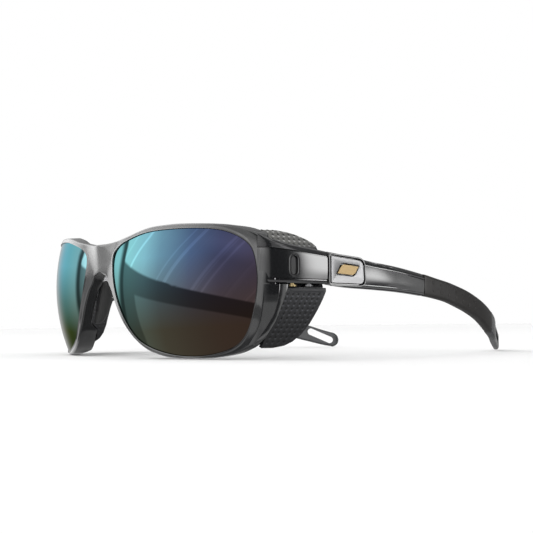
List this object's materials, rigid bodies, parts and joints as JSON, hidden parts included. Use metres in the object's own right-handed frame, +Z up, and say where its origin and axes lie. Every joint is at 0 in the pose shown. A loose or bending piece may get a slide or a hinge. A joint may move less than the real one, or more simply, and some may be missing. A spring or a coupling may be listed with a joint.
{
  "type": "glacier glasses",
  "caption": "Wraparound mountain sunglasses with mirror lenses, clip-in side shields, folding temples with rubber grips and cord slots.",
  "frame": {"origin": "middle of the width and depth of the open glasses, on the plane they stand on", "axes": "+Z up, the wearer looks along -Y, +X is the wearer's left"},
  "size_m": [0.1436, 0.153, 0.0439],
  "materials": {
    "smoke_nylon": "translucent smoke black, glossy",
    "mirror_lens": "mirror coat running from teal and blue at the top to brown at the bottom",
    "soft_rubber": "matte black",
    "dark_plastic": "satin",
    "hinge_steel": "brushed",
    "brass": "polished",
    "shield_rubber": "matte charcoal with a fine dimple grid",
    "silver_plate": "satin lilac silver",
    "gold_inlay": "satin pale gold",
    "grip_rubber": "matte brown black with small raised dots"
  },
  "bodies": {
    "front": {"front_frame": "smoke_nylon", "left_lens": "mirror_lens", "left_front_hinge_leaf": "hinge_steel", "left_hinge_screw": "hinge_steel", "left_hinge_bush": "hinge_steel", "left_shield_stud": "brass", "right_lens": "mirror_lens", "right_front_hinge_leaf": "hinge_steel", "right_hinge_screw": "hinge_steel", "right_hinge_bush": "hinge_steel", "right_shield_stud": "brass"},
    "left_temple_arm": {"left_temple": "smoke_nylon", "left_temple_hinge_leaf": "hinge_steel", "left_badge_plate": "silver_plate", "left_badge_inlay": "gold_inlay", "left_grip_sleeve": "grip_rubber"},
    "left_pad": {"left_nose_pad": "soft_rubber", "left_nose_pad_core": "dark_plastic"},
    "left_shield": {"left_side_shield": "shield_rubber", "left_shield_clip": "dark_plastic"},
    "right_temple_arm": {"right_temple": "smoke_nylon", "right_temple_hinge_leaf": "hinge_steel", "right_badge_plate": "silver_plate", "right_badge_inlay": "gold_inlay", "right_grip_sleeve": "grip_rubber"},
    "right_pad": {"right_nose_pad": "soft_rubber", "right_nose_pad_core": "dark_plastic"},
    "right_shield": {"right_side_shield": "shield_rubber", "right_shield_clip": "dark_plastic"}
  },
  "joints": [
    {"name": "left_temple_fold", "type": "hinge", "parent": "front", "child": "left_temple_arm", "pos_m": [0.0635, -0.032, 0.0292], "axis": [0, 0, 1], "range_deg": [0, 96]},
    {"name": "right_temple_fold", "type": "hinge", "parent": "front", "child": "right_temple_arm", "pos_m": [-0.0635, -0.032, 0.0292], "axis": [0, 0, -1], "range_deg": [0, 87]},
    {"name": "left_nose_pad_tilt", "type": "hinge", "parent": "front", "child": "left_pad", "pos_m": [0.0089, -0.0693, 0.0254], "axis": [0.3966, 0.0547, -0.9163], "range_deg": [-8, 8]},
    {"name": "right_nose_pad_tilt", "type": "hinge", "parent": "front", "child": "right_pad", "pos_m": [-0.0089, -0.0693, 0.0254], "axis": [-0.3966, 0.0547, -0.9163], "range_deg": [-8, 8]},
    {"name": "left_shield_release", "type": "slide", "parent": "front", "child": "left_shield", "axis": [-0.9862, 0.1656, 0], "range_m": [0, 0.007]},
    {"name": "right_shield_release", "type": "slide", "parent": "front", "child": "right_shield", "axis": [0.9862, 0.1656, 0], "range_m": [0, 0.007]}
  ]
}
